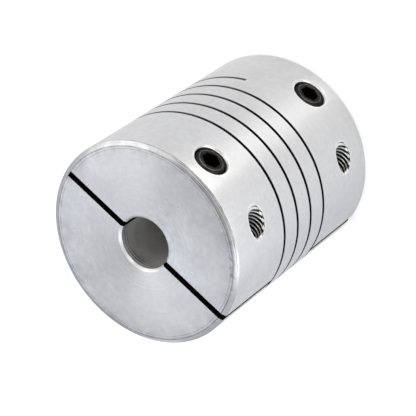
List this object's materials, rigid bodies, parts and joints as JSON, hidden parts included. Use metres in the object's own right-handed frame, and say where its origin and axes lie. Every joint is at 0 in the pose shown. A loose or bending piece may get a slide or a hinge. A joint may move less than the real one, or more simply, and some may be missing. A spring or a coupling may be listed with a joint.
{
  "type": "shaft coupling",
  "caption": "Flexible helical beam coupling that joins two shafts end to end, with slit clamp hubs and set screws.",
  "frame": {"origin": "middle of the lower end face, on the shaft axis", "axes": "+Z along the shaft axis from the lower to the upper end, +X to the open side of the hub slits, +Y to the set screws"},
  "size_m": [0.025, 0.025, 0.03],
  "materials": {
    "turned_aluminium": "bare metal, finely turned",
    "black_steel": "black oxide"
  },
  "bodies": {
    "root": {"coupling_body": "turned_aluminium", "upper_set_screw": "black_steel", "lower_set_screw": "black_steel", "upper_clamp_screw": "black_steel", "lower_clamp_screw": "black_steel"}
  },
  "joints": []
}
